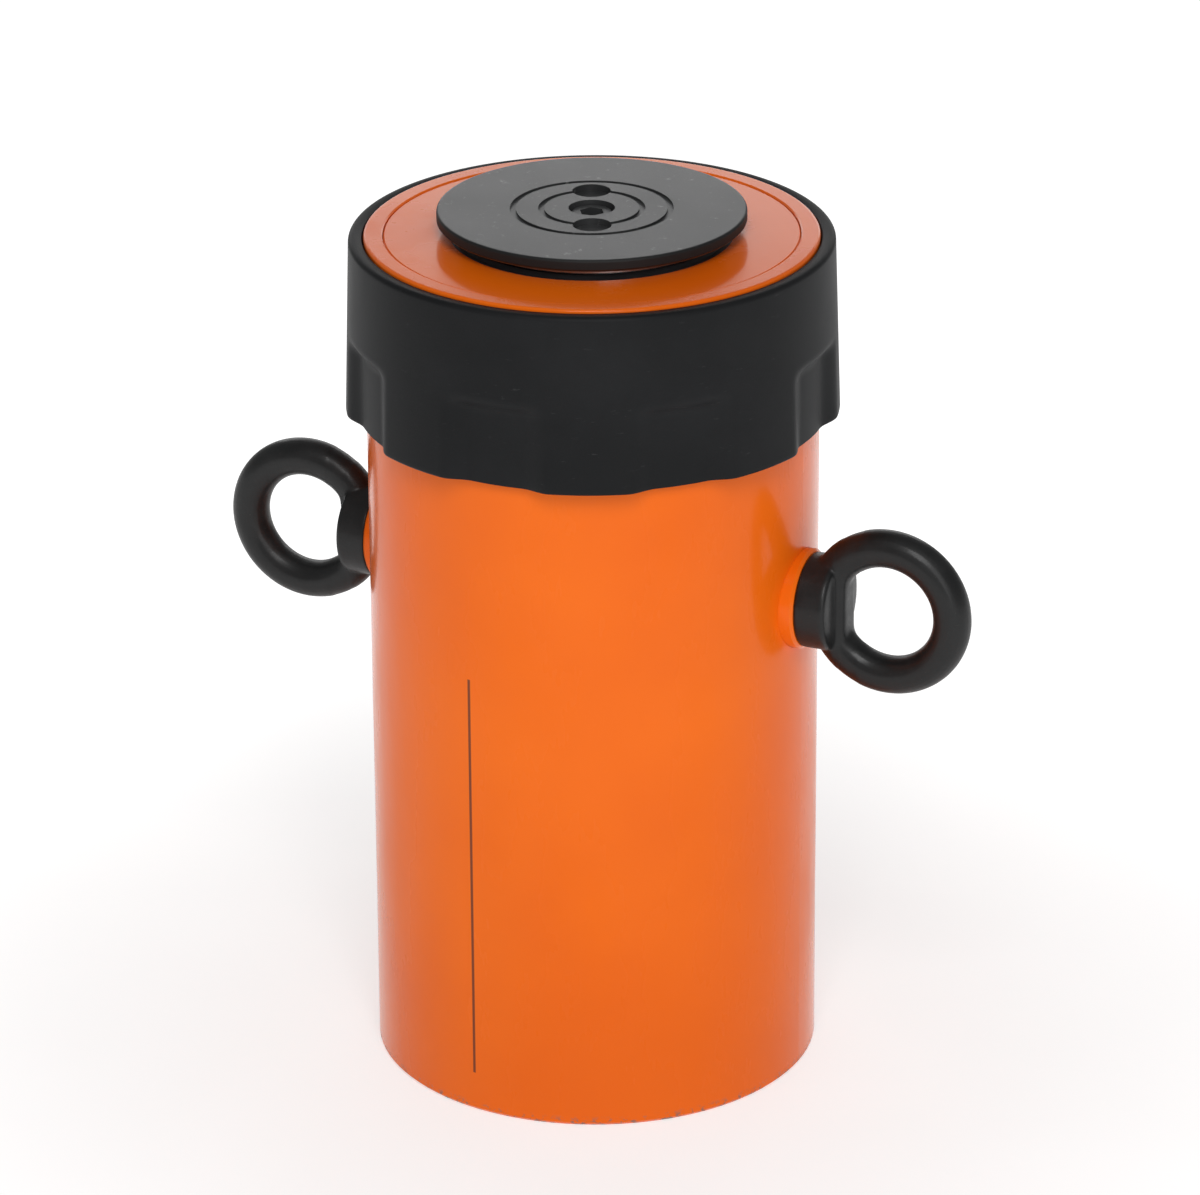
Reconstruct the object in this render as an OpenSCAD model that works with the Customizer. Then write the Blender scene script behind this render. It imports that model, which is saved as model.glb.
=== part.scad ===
// Spring-return hydraulic lifting cylinder for a remote pump.
//
// The barrel stands on its closed base, with the origin at the centre of the base face and +Z up.
// The two lifting eyes lie along X and the oil coupler points along +Y.
// A hollow plunger rises out of the barrel, guided by its piston head below and the gland above,
// and a tension spring inside it pulls it back down when the oil is let out.

/* [Barrel] */
// Outside diameter of the barrel
barrel_d = 165; // [135:0.5:200]
// Thickness of the barrel wall beside the bore
wall_t = 17.5; // [14.5:0.5:22]
// Thickness of the closed base
floor_t = 45; // [42:1:60]
// Chamfer round the foot of the barrel
foot_chamfer = 1.2; // [0.5:0.1:3]
// Rounding of the barrel's top rim
rim_round = 1.2; // [0.5:0.1:2]

/* [Stroke] */
// Travel of the plunger
stroke = 150; // [50:1:250]
// Length of the piston head
piston_l = 52; // [46:1:70]
// Height of the feet that keep the piston off the base
piston_foot_h = 2; // [1:0.5:4]

/* [Collar and thread protector] */
// Height of the protector ring
protector_h = 66; // [50:1:85]
// How far the ring's top stays below the barrel's rim
protector_drop = 1; // [0.5:0.1:3]
// Wall of the ring at its top edge
protector_top_wall = 5.5; // [4:0.1:8]
// Wall of the ring at the grip lugs, at its bottom edge
protector_lug_wall = 9.3; // [8:0.1:12]
// Wall left under each grip recess
recess_wall = 3.2; // [2:0.1:6]
// Height of the grip recesses
recess_h = 33; // [20:1:48]
// Share of each lug's pitch that its recess takes at the floor
recess_share = 0.31; // [0.2:0.01:0.5]
// Slope of a recess's sides, from the radius
recess_side_a = 55; // [10:1:60]
// Number of grip lugs
lug_count = 8; // [6:1:10]
// Pitch of the collar thread
collar_pitch = 3; // [2:0.5:4]
// Depth of the collar thread
collar_thread_t = 1.2; // [0.6:0.1:1.6]

/* [Gland] */
// Length of the gland
gland_l = 70.5; // [60:0.5:90]
// How far the gland's face lies below the rim
gland_drop = 0.4; // [0.2:0.1:2]
// Width of the barrel's rim round the gland
rim_w = 7; // [5.5:0.5:8]
// Thickness of the gland's flange
gland_flange_t = 8; // [6:0.5:12]
// Depth of the gland's thread seat beyond the bore
gland_step = 6; // [4:0.5:8]

/* [Plunger] */
// Width of the piston's shoulder beyond the plunger
piston_shoulder = 17.5; // [10:0.5:22]
// How far the plunger stands proud of the gland at rest
plunger_proud = 4.6; // [1.8:0.1:8]
// Thickness of the plunger's solid head
plunger_head_t = 60; // [56:1:75]

/* [Saddle] */
// Diameter of the saddle
saddle_d = 112; // [90:1:136]
// Thickness of the saddle's plate
saddle_t = 4.6; // [4:0.1:12]
// Diameter of the spigot under the saddle
saddle_spigot_d = 40; // [32:1:50]
// Depth of the spigot
saddle_spigot_h = 14; // [13:0.5:18]
// Radii of the two grip grooves in the saddle's face
saddle_groove_r = [18.2, 28.4];
// Width of a grip groove
saddle_groove_w = 2.2; // [1:0.1:2.5]
// Depth of a grip groove
saddle_groove_t = 0.9; // [0.4:0.1:1.5]
// Diameter of the two spanner pockets
saddle_pocket_d = 14; // [8:0.5:15]
// Radius at which the spanner pockets lie
saddle_pocket_r = 18.4; // [18:0.1:26]
// Depth of the spanner pockets
saddle_pocket_t = 2.5; // [2:0.5:3]
// Angle of the spanner pockets about the plunger
saddle_turn = -66; // [-90:1:90]

/* [Return spring] */
// Outside diameter of the spring
spring_d = 51; // [40:1:58]
// Wire diameter of the spring
spring_wire = 7; // [5:0.5:8]

/* [Lifting eyes] */
// Inside diameter of the eye
eye_in_d = 35; // [28:1:42]
// Thickness of the eye's ring
eye_wire = 14; // [11:0.5:17]
// Diameter of the eye bolt's collar
eye_collar_d = 35; // [30:1:40]
// Height of the welded boss under the eye bolt
eye_boss_h = 3.3; // [1.5:0.1:6]
// Thread of the eye bolt
eye_thread_d = 16; // [12:1:20]
// Length of thread in the barrel
eye_thread_l = 8.5; // [6:0.5:10]
// Height of the eye bolt above its seat
eye_bolt_h = 62; // [58:0.5:68]
// Thickness of the eye bolt's collar
eye_collar_t = 12; // [8:0.5:14]
// Distance of the eyes below the protector ring
eye_drop = 63; // [45:1:90]

/* [Base holes] */
// Tapping diameter of the four base holes
base_hole_d = 10.2; // [6:0.1:14]
// Depth of the base holes
base_hole_l = 22; // [12:1:26]
// Distance of the base holes from the barrel's outside
base_hole_inset = 22.5; // [14:0.5:30]

/* [Oil coupler] */
// Height of the coupler above the base
coupler_z = 22; // [20:0.5:23]
// Width of the coupler's hexagon across its flats
coupler_hex = 30; // [26:1:34]
// Length of the hexagon
coupler_hex_l = 12; // [8:1:18]
// Diameter of the coupler's threaded nose
coupler_nose_d = 27; // [24.5:0.5:32]
// Length of the threaded nose
coupler_nose_l = 20; // [18:1:26]
// Thread that screws into the barrel
port_d = 17; // [15:0.5:20]
// Length of that thread
port_l = 18; // [14:1:22]
// Wall of the dust cap
cap_wall = 2.6; // [2:0.1:4]
// Thickness of the dust cap's end
cap_end_t = 4; // [3:0.5:6]

/* [Hidden] */
// Clearances
run_gap = 0.05;       // a guide ring on the face it runs on
lip_gap = 0.1;        // a seal lip on the face it wipes
free_gap = 0.4;       // metal that passes metal without touching
seat_gap = 0.1;       // a ring in its groove, a thread in its hole
spigot_gap = 0.2;     // the saddle's spigot and the gland's flange
stop_gap = 0.1;       // left at the end of the stroke
slip_gap = 0.3;       // what slides on and off: the protector ring and the dust cap
spring_gap = 5;       // round the return spring
edge = 1;             // the usual chamfer
spot_sunk = 0.2;      // a spot face below the barrel's round

// Radii of the barrel and what fills it
barrel_r = barrel_d / 2;
bore_r = barrel_r - wall_t;
rod_r = bore_r - piston_shoulder;
gland_seat_r = bore_r + gland_step;
flange_r = barrel_r - rim_w - spigot_gap;

// Heights, from the base up
piston_z = floor_t + piston_foot_h;
piston_top_z = piston_z + piston_l;
gland_z = piston_top_z + stroke + stop_gap;
gland_top_z = gland_z + gland_l;
barrel_h = gland_top_z + gland_drop;
flange_z = gland_top_z - gland_flange_t;
plunger_top_z = gland_top_z + plunger_proud;
saddle_top_z = plunger_top_z + saddle_t;
hollow_top_z = plunger_top_z - plunger_head_t;

// Protector ring and collar thread
protector_top_z = barrel_h - protector_drop;
protector_z = protector_top_z - protector_h;
protector_in_r = barrel_r + slip_gap;
recess_a = 360 / lug_count * recess_share;
recess_ramp_h = 5;
collar_rim_h = 5;
collar_turns = floor((protector_h - 2 * collar_rim_h) / collar_pitch);
collar_z = barrel_h - collar_rim_h - collar_turns * collar_pitch;

// Ring grooves: height and depth of each
guide_h = 10;
guide_t = 3;
seal_h = 10;
seal_t = 7;
backup_h = 3;
backup_t = 6;
wiper_h = 6;
wiper_t = 4;
wiper_lip_h = 1;
wiper_lip_w = 0.7;
o_ring_d = 4;
land_h = 6;

// Piston head, from the bottom up: seal, its back-up ring, then the guide ring
piston_r = bore_r - free_gap;
seal_z = piston_z + land_h;
piston_guide_z = seal_z + seal_h + backup_h + land_h;

// Saddle screw: an M10 socket screw
screw_d = 10;
screw_head_d = 16;
screw_head_h = 10;
screw_grip = 8;
screw_l = 20;
socket_af = 8;
socket_t = 5;
screw_sunk = 1.5;
screw_head_z = saddle_top_z - screw_sunk;
screw_seat_z = screw_head_z - screw_head_h;
screw_tip_z = screw_seat_z - screw_grip - screw_l;

// Spring and its two screw-in anchors
spring_mean_r = (spring_d - spring_wire) / 2;
hollow_r = spring_d / 2 + spring_gap;
anchor_flange_r = spring_d / 2;
anchor_flange_h = 6;
anchor_plug_r = spring_mean_r - spring_wire / 2 - free_gap;
anchor_plug_h = 24;
anchor_stud_r = 8;
anchor_stud_l = 17;
spring_z = floor_t + anchor_flange_h + spring_wire / 2 + free_gap;
spring_end_z = hollow_top_z - anchor_flange_h - spring_wire / 2 - free_gap;
spring_turns = floor((spring_end_z - spring_z) / (spring_wire + free_gap));
spring_pitch = (spring_end_z - spring_z) / spring_turns;

// Lifting eyes
eye_ring_r = (eye_in_d + eye_wire) / 2;
eye_seat_x = barrel_r + eye_boss_h;
eye_x = eye_seat_x + eye_bolt_h - eye_ring_r - eye_wire / 2;
eye_z = protector_z - eye_drop;
eye_boss_d = eye_collar_d + 2 * edge;
eye_boss_x = flat_r(eye_boss_d + 2 * seat_gap);
eye_collar_x = eye_seat_x + eye_collar_t;
eye_web_x = eye_x - eye_in_d / 2 + 2.5;
eye_web_w = 30;
eye_web_t = eye_wire - 2 * edge;

// Oil coupler, along +Y
hex_corner_d = coupler_hex / cos(30);
coupler_y = flat_r(hex_corner_d + 2 * edge);
coupler_neck_l = 4;
coupler_neck_r = coupler_nose_d / 2 - 2.5;
nose_y = coupler_y + coupler_hex_l + coupler_neck_l;
nose_end_y = nose_y + coupler_nose_l;
nose_pitch = 2;
nose_thread_t = 0.8;
socket_r = 9;
socket_l = 10;
socket_seal_y = nose_end_y - socket_l / 2;
socket_seal_h = 2;
socket_seal_t = 1.5;
valve_land_l = 3;
valve_seat_y = nose_end_y - socket_l - valve_land_l;
valve_seat_r = 4.2;
valve_head_r = 6.2;
valve_head_l = 6;
valve_cone_l = 2;
valve_stem_r = 2.6;
valve_stem_l = 9;
valve_bore_r = valve_head_r + slip_gap;
valve_spring_wire = 1.2;
valve_spring_turns = 6;
clip_y = coupler_y - port_l + 2;
clip_h = 2;
clip_w = 2.4;
clip_groove_t = 1;
oil_way_r = 3;
oil_rise_r = 2.5;
oil_way_y = bore_r - 12;
bonded_seal_h = 2;
bonded_seal_r = port_d / 2 + 3;

// Dust cap
cap_in_r = coupler_nose_d / 2 + slip_gap;
cap_r = cap_in_r + cap_wall;
cap_seal_h = 1.5;
cap_y = nose_y + 2;
cap_end_y = nose_end_y + cap_seal_h + slip_gap + cap_end_t;
cap_flutes = 20;
cap_flute_r = 1.6;

// Gland lock screw, under the protector ring
lock_d = 6;
lock_l = 14;
lock_z = flange_z - land_h;

base_holes = 4;

$fn = 128;

// Distance from the axis to a spot face that a cutter of diameter d has just cleaned up all round
function flat_r(d) = sqrt(pow(barrel_r, 2) - pow(d / 2, 2)) - spot_sunk;

// Points of a round corner in a profile
function arc(x, y, r, from, to, steps = 6) =
    [for (i = [0 : steps]) let (a = from + (to - from) * i / steps) [x + r * cos(a), y + r * sin(a)]];

// A V-thread's profile, drawn as closed rings: crest, root, root, crest, as shares of the pitch
function thread(r, depth, z, pitch, turns, crest = 0.1, root = 0.45) =
    [for (i = [0 : turns - 1], p = [[0, crest], [depth, root], [depth, 1 - root], [0, 1 - crest]])
        [r - p[0], z + (i + p[1]) * pitch]];

// Turns a profile of [radius, height] points about Z
module revolve(profile) {
    rotate_extrude() polygon(profile);
}

module ring(inner_r, outer_r, z, h) {
    revolve([[inner_r, z], [outer_r, z], [outer_r, z + h], [inner_r, z + h]]);
}

module o_ring(r, z) {
    rotate_extrude() translate([r, z]) circle(d = o_ring_d, $fn = 32);
}

// Lays a shape that was drawn along +Z along +Y, at the coupler's height
module along_y() {
    translate([0, 0, coupler_z]) rotate([-90, 0, 0]) children();
}

// Lays a shape that was drawn along +Z along +X, or along -X for side -1, at the eyes' height
module along_x(side) {
    translate([0, 0, eye_z]) rotate([0, side * 90, 0]) children();
}

// A round wire wound on a cylinder, as one closed mesh
module coil(mean_r, wire, z, pitch, turns, steps, sides) {
    rings = turns * steps;
    lean = atan(pitch / (2 * PI * mean_r));
    points = [for (i = [0 : rings], j = [0 : sides - 1])
        let (a = 360 * i / steps, b = 360 * j / sides,
             out = wire / 2 * cos(b), up = wire / 2 * sin(b))
        [(mean_r + out) * cos(a) + up * sin(lean) * sin(a),
         (mean_r + out) * sin(a) - up * sin(lean) * cos(a),
         z + pitch * i / steps + up * cos(lean)]];
    skin = [for (i = [0 : rings - 1], j = [0 : sides - 1])
        let (k = (j + 1) % sides)
        [i * sides + j, (i + 1) * sides + j, (i + 1) * sides + k, i * sides + k]];
    start = [[for (j = [0 : sides - 1]) j]];
    finish = [[for (j = [sides - 1 : -1 : 0]) rings * sides + j]];
    polyhedron(points, concat(skin, start, finish), convexity = 10);
}

// ---- barrel and what is fixed in it ----

module barrel() {
    color("darkorange") difference() {
        revolve(concat(
            [[0, 0], [barrel_r - foot_chamfer, 0], [barrel_r, foot_chamfer]],
            thread(barrel_r, collar_thread_t, collar_z, collar_pitch, collar_turns),
            arc(barrel_r - rim_round, barrel_h - rim_round, rim_round, 0, 90),
            [[barrel_r - rim_w + edge / 2, barrel_h], [barrel_r - rim_w, barrel_h - edge / 2],
             [barrel_r - rim_w, flange_z], [gland_seat_r + spigot_gap, flange_z],
             [gland_seat_r + spigot_gap, gland_z], [bore_r, gland_z], [bore_r, floor_t], [0, floor_t]]
        ));
        base_hole_cuts();
        port_cuts();
        translate([0, 0, floor_t - anchor_stud_l - edge])
            cylinder(r = anchor_stud_r + seat_gap, h = anchor_stud_l + 2 * edge);
        for (side = [-1, 1]) eye_seat_cuts(side);
        lock_screw_cut();
    }
}

module base_hole_cuts() {
    for (i = [0 : base_holes - 1]) rotate(360 / base_holes * (i + 0.5))
        translate([barrel_r - base_hole_inset, 0, 0]) {
            translate([0, 0, -edge]) cylinder(d = base_hole_d, h = base_hole_l + edge);
            translate([0, 0, -edge]) cylinder(d1 = base_hole_d + 4 * edge, d2 = base_hole_d, h = 2 * edge);
        }
}

// Flat, threaded port and the oil way that turns up into the bore
module port_cuts() {
    along_y() revolve([
        [0, oil_way_y - oil_way_r], [oil_way_r, oil_way_y - oil_way_r],
        [oil_way_r, coupler_y - port_l - edge], [port_d / 2 + seat_gap, coupler_y - port_l - edge],
        [port_d / 2 + seat_gap, coupler_y - bonded_seal_h],
        [bonded_seal_r + seat_gap, coupler_y - bonded_seal_h], [bonded_seal_r + seat_gap, coupler_y],
        [hex_corner_d / 2 + edge, coupler_y],
        [hex_corner_d / 2 + edge, 2 * barrel_r], [0, 2 * barrel_r]
    ]);
    translate([0, oil_way_y, coupler_z]) cylinder(r = oil_rise_r, h = floor_t - coupler_z + edge);
}

// Spot face for a boss and the blind threaded hole for its eye bolt
module eye_seat_cuts(side) {
    along_x(side) {
        translate([0, 0, eye_boss_x]) cylinder(d = eye_boss_d + 2 * seat_gap, h = barrel_r);
        translate([0, 0, eye_boss_x - eye_thread_l - edge])
            cylinder(d = eye_thread_d + 2 * seat_gap, h = eye_thread_l + 2 * edge);
    }
}

module lock_screw_cut() {
    translate([0, barrel_r - lock_l - 2 * edge, lock_z]) rotate([-90, 0, 0])
        cylinder(d = lock_d + 2 * seat_gap, h = lock_l + 4 * edge);
}

module gland_nut() {
    guide_z = gland_z + land_h;
    wiper_z = gland_top_z - wiper_h;
    clear_r = rod_r + free_gap;
    groove_z = gland_z + land_h;
    color("darkorange") difference() {
        revolve([
            [clear_r, gland_z], [gland_seat_r, gland_z],
            [gland_seat_r, groove_z], [gland_seat_r - o_ring_d, groove_z],
            [gland_seat_r - o_ring_d, groove_z + o_ring_d + 2 * seat_gap],
            [gland_seat_r, groove_z + o_ring_d + 2 * seat_gap],
            [gland_seat_r, flange_z], [flange_r, flange_z],
            [flange_r, gland_top_z - edge / 2], [flange_r - edge / 2, gland_top_z],
            [rod_r + wiper_t, gland_top_z], [rod_r + wiper_t, wiper_z], [clear_r, wiper_z],
            [clear_r, guide_z + guide_h], [rod_r + guide_t, guide_z + guide_h],
            [rod_r + guide_t, guide_z], [clear_r, guide_z]
        ]);
        lock_screw_cut();
    }
}

module gland_guide_ring() {
    z = gland_z + land_h + seat_gap;
    color("darkkhaki") ring(rod_r + run_gap, rod_r + guide_t - seat_gap, z, guide_h - 2 * seat_gap);
}

// Scraper with a lip that leans in to the plunger and stands just above the gland
module gland_wiper() {
    z = gland_top_z - wiper_h;
    out = rod_r + wiper_t - seat_gap;
    lip = rod_r + lip_gap;
    color("dimgray") revolve([
        [rod_r + free_gap, z + seat_gap], [out, z + seat_gap], [out, gland_top_z - seat_gap],
        [rod_r + wiper_t / 2, gland_top_z], [lip + wiper_lip_w, gland_top_z + wiper_lip_h],
        [lip, gland_top_z + wiper_lip_h / 2], [lip, gland_top_z - wiper_h / 3],
        [lip + wiper_lip_w, z + wiper_h / 3]
    ]);
}

module gland_o_ring() {
    r = gland_seat_r + spigot_gap - seat_gap - o_ring_d / 2;
    color("dimgray") o_ring(r, gland_z + land_h + o_ring_d / 2 + seat_gap);
}

module gland_lock_screw() {
    color("silver") translate([0, barrel_r - lock_l - edge, lock_z]) rotate([-90, 0, 0]) difference() {
        cylinder(d = lock_d, h = lock_l);
        translate([0, 0, lock_l - lock_d / 2]) cylinder(d = lock_d / 2 / cos(30), h = lock_d, $fn = 6);
    }
}

// ---- plunger ----

module plunger() {
    spigot_z = plunger_top_z - saddle_spigot_h - free_gap;
    stud_z = hollow_top_z + anchor_stud_l + edge;
    color("gainsboro") difference() {
        revolve([
            [hollow_r, piston_z], [hollow_r + spring_gap, piston_z],
            [hollow_r + spring_gap, floor_t], [hollow_r + 2 * spring_gap, floor_t],
            [hollow_r + 2 * spring_gap, piston_z], [piston_r - edge, piston_z], [piston_r, piston_z + edge],
            [piston_r, seal_z], [bore_r - seal_t, seal_z], [bore_r - seal_t, seal_z + seal_h + backup_h],
            [piston_r, seal_z + seal_h + backup_h],
            [piston_r, piston_guide_z], [bore_r - guide_t, piston_guide_z],
            [bore_r - guide_t, piston_guide_z + guide_h], [piston_r, piston_guide_z + guide_h],
            [piston_r, piston_top_z - edge], [piston_r - edge, piston_top_z], [rod_r, piston_top_z],
            [rod_r, plunger_top_z - edge], [rod_r - edge, plunger_top_z],
            [saddle_spigot_d / 2 + spigot_gap, plunger_top_z],
            [saddle_spigot_d / 2 + spigot_gap, spigot_z], [screw_d / 2 + seat_gap, spigot_z],
            [screw_d / 2 + seat_gap, screw_tip_z - edge], [0, screw_tip_z - edge],
            [0, stud_z], [anchor_stud_r + seat_gap, stud_z],
            [anchor_stud_r + seat_gap, hollow_top_z], [hollow_r, hollow_top_z]
        ]);
        for (a = [0 : 120 : 240]) rotate(a)
            translate([hollow_r, -land_h, floor_t - edge])
                cube([3 * spring_gap, 2 * land_h, piston_foot_h + edge]);
    }
}

module piston_guide_ring() {
    color("darkkhaki") ring(bore_r - guide_t + seat_gap, bore_r - run_gap,
                            piston_guide_z + seat_gap, guide_h - 2 * seat_gap);
}

// U-shaped seal, open to the oil below
module piston_seal() {
    root = bore_r - seal_t + seat_gap;
    lip = bore_r - lip_gap;
    mid = (root + lip) / 2;
    bevel = 1.5 * edge;
    color("dimgray") revolve([
        [root, seal_z + seat_gap], [root + bevel, seal_z + seat_gap], [mid, seal_z + seal_h / 2],
        [lip - bevel, seal_z + seat_gap], [lip, seal_z + bevel], [lip - 2 * lip_gap, seal_z + seal_h],
        [root, seal_z + seal_h]
    ]);
}

module piston_backup_ring() {
    color("white") ring(bore_r - seal_t + seat_gap, bore_r - seal_t + backup_t,
                        seal_z + seal_h, backup_h - seat_gap);
}

// ---- saddle ----

module saddle() {
    color("dimgray") difference() {
        revolve(concat(
            [[screw_d / 2 + free_gap, plunger_top_z - saddle_spigot_h],
             [saddle_spigot_d / 2 - edge, plunger_top_z - saddle_spigot_h],
             [saddle_spigot_d / 2, plunger_top_z - saddle_spigot_h + edge],
             [saddle_spigot_d / 2, plunger_top_z], [saddle_d / 2 - edge, plunger_top_z],
             [saddle_d / 2, plunger_top_z + edge]],
            arc(saddle_d / 2 - edge, saddle_top_z - edge, edge, 0, 90),
            [[screw_head_d / 2 + free_gap, saddle_top_z], [screw_head_d / 2 + free_gap, screw_seat_z],
             [screw_d / 2 + free_gap, screw_seat_z]]
        ));
        for (r = saddle_groove_r)
            ring(r - saddle_groove_w / 2, r + saddle_groove_w / 2,
                 saddle_top_z - saddle_groove_t, 2 * saddle_groove_t);
        for (side = [-1, 1]) rotate(saddle_turn)
            translate([side * saddle_pocket_r, 0, saddle_top_z - saddle_pocket_t])
                cylinder(d = saddle_pocket_d, h = 2 * saddle_pocket_t);
    }
}

module saddle_screw() {
    color("dimgray") difference() {
        revolve([
            [0, screw_tip_z], [screw_d / 2 - edge, screw_tip_z], [screw_d / 2, screw_tip_z + edge],
            [screw_d / 2, screw_seat_z], [screw_head_d / 2, screw_seat_z],
            [screw_head_d / 2, screw_head_z - edge], [screw_head_d / 2 - edge, screw_head_z],
            [0, screw_head_z]
        ]);
        translate([0, 0, screw_head_z - socket_t])
            cylinder(d = socket_af / cos(30), h = 2 * socket_t, $fn = 6);
    }
}

// ---- return spring ----

module return_spring() {
    color("slategray") coil(spring_mean_r, spring_wire, spring_z, spring_pitch, spring_turns, 16, 8);
}

// Stud, flange and the plug that the spring's end coils grip; drawn pointing up from z = 0
module spring_anchor() {
    revolve([
        [0, -anchor_stud_l], [anchor_stud_r - edge, -anchor_stud_l], [anchor_stud_r, edge - anchor_stud_l],
        [anchor_stud_r, 0], [anchor_flange_r, 0], [anchor_flange_r, anchor_flange_h],
        [anchor_plug_r, anchor_flange_h], [anchor_plug_r, anchor_flange_h + anchor_plug_h - edge],
        [anchor_plug_r - edge, anchor_flange_h + anchor_plug_h], [0, anchor_flange_h + anchor_plug_h]
    ]);
}

module spring_base_anchor() {
    color("silver") translate([0, 0, floor_t]) spring_anchor();
}

module spring_head_anchor() {
    color("silver") translate([0, 0, hollow_top_z]) mirror([0, 0, 1]) spring_anchor();
}

// ---- thread protector ----

// A slightly conical skirt with grip recesses cut into its lower half
module thread_protector() {
    top_r = barrel_r + protector_top_wall;
    lug_r = barrel_r + protector_lug_wall;
    color([0.16, 0.16, 0.17]) difference() {
        revolve(concat(
            [[protector_in_r, protector_z + edge / 2], [protector_in_r + edge / 2, protector_z]],
            arc(lug_r - edge, protector_z + edge, edge, -90, 0, 4),
            arc(top_r - 2 * edge, protector_top_z - 2 * edge, 2 * edge, 0, 90),
            [[protector_in_r + edge / 2, protector_top_z], [protector_in_r, protector_top_z - edge / 2]]
        ));
        recess_cuts(barrel_r + recess_wall, lug_r + edge);
    }
}

// Wedges between the lugs, cut down to a round floor that ramps out at its upper end
module recess_cuts(floor_r, outer_r) {
    half = floor_r * sin(recess_a / 2);
    floor_x = floor_r * cos(recess_a / 2);
    spread = (outer_r + edge - floor_x) * tan(recess_side_a);
    intersection() {
        translate([0, 0, protector_z - edge]) linear_extrude(recess_h + 2 * edge)
            for (i = [0 : lug_count - 1]) rotate(360 / lug_count * i)
                polygon([[floor_x - 2 * edge, -half], [outer_r + edge, -half - spread],
                         [outer_r + edge, half + spread], [floor_x - 2 * edge, half]]);
        revolve([[floor_r, protector_z - edge], [outer_r, protector_z - edge],
                 [outer_r, protector_z + recess_h], [floor_r, protector_z + recess_h - recess_ramp_h]]);
    }
}

// ---- lifting eyes ----

// Round boss that the eye bolt's collar seats on
module eye_boss() {
    hole_r = eye_thread_d / 2 + seat_gap;
    revolve([
        [hole_r, eye_boss_x], [eye_boss_d / 2, eye_boss_x], [eye_boss_d / 2, eye_seat_x - edge],
        [eye_boss_d / 2 - edge, eye_seat_x], [hole_r, eye_seat_x]
    ]);
}

module eye_boss_left() {
    color("darkorange") along_x(-1) eye_boss();
}

module eye_boss_right() {
    color("darkorange") along_x(1) eye_boss();
}

// Forged eye bolt, drawn along +Z with its thread in the boss and the barrel
module eye_bolt() {
    union() {
        difference() {
            translate([0, 0, eye_x]) rotate([90, 0, 0])
                rotate_extrude() translate([eye_ring_r, 0]) circle(d = eye_wire, $fn = 64);
            translate([0, 0, eye_seat_x - eye_wire]) cylinder(d = eye_collar_d, h = eye_wire);
        }
        translate([-eye_web_w / 2, -eye_web_t / 2, eye_seat_x + edge])
            cube([eye_web_w, eye_web_t, eye_web_x - eye_seat_x - edge]);
        revolve([
            [0, eye_boss_x - eye_thread_l], [eye_thread_d / 2 - edge, eye_boss_x - eye_thread_l],
            [eye_thread_d / 2, eye_boss_x - eye_thread_l + edge], [eye_thread_d / 2, eye_seat_x],
            [eye_collar_d / 2 - edge / 2, eye_seat_x], [eye_collar_d / 2, eye_seat_x + edge / 2],
            [eye_collar_d / 2, eye_collar_x - 2 * edge], [eye_collar_d / 2 - 2 * edge, eye_collar_x],
            [0, eye_collar_x]
        ]);
    }
}

module eye_bolt_left() {
    color("dimgray") along_x(-1) eye_bolt();
}

module eye_bolt_right() {
    color("dimgray") along_x(1) eye_bolt();
}

// ---- oil coupler ----

module coupler_body() {
    turns = floor((coupler_nose_l - 3 * edge) / nose_pitch);
    nose_r = coupler_nose_d / 2;
    color("silver") along_y() difference() {
        union() {
            revolve([
                [0, coupler_y - port_l], [port_d / 2 - edge, coupler_y - port_l],
                [port_d / 2, coupler_y - port_l + edge], [port_d / 2, coupler_y + edge], [0, coupler_y + edge]
            ]);
            intersection() {
                translate([0, 0, coupler_y]) cylinder(d = hex_corner_d, h = coupler_hex_l, $fn = 6);
                translate([0, 0, coupler_y]) revolve([
                    [0, 0], [hex_corner_d / 2 - edge, 0], [hex_corner_d / 2, edge],
                    [hex_corner_d / 2, coupler_hex_l - edge], [hex_corner_d / 2 - edge, coupler_hex_l],
                    [0, coupler_hex_l]
                ]);
            }
            revolve(concat(
                [[0, coupler_y + edge], [coupler_neck_r, coupler_y + edge], [coupler_neck_r, nose_y],
                 [nose_r - edge, nose_y]],
                thread(nose_r, nose_thread_t, nose_y + edge, nose_pitch, turns),
                [[nose_r, nose_end_y - edge], [nose_r - edge, nose_end_y], [0, nose_end_y]]
            ));
        }
        revolve([
            [0, coupler_y - port_l - edge], [valve_bore_r, coupler_y - port_l - edge],
            [valve_bore_r, valve_seat_y - valve_cone_l], [valve_seat_r, valve_seat_y],
            [valve_seat_r, nose_end_y - socket_l], [socket_r, nose_end_y - socket_l],
            [socket_r, nose_end_y - edge], [socket_r + edge, nose_end_y + seat_gap],
            [0, nose_end_y + seat_gap]
        ]);
        translate([0, 0, clip_y]) cylinder(r = valve_bore_r + clip_groove_t, h = clip_h + 2 * seat_gap);
        ring(socket_r - seat_gap, socket_r + socket_seal_t + seat_gap,
             socket_seal_y - 2 * seat_gap, socket_seal_h + 4 * seat_gap);
    }
}

// Rubber-bonded washer, sunk in the port's mouth under the hexagon
module coupler_bonded_seal() {
    color("dimgray") along_y()
        ring(port_d / 2 + seat_gap, bonded_seal_r, coupler_y - bonded_seal_h, bonded_seal_h);
}

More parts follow.
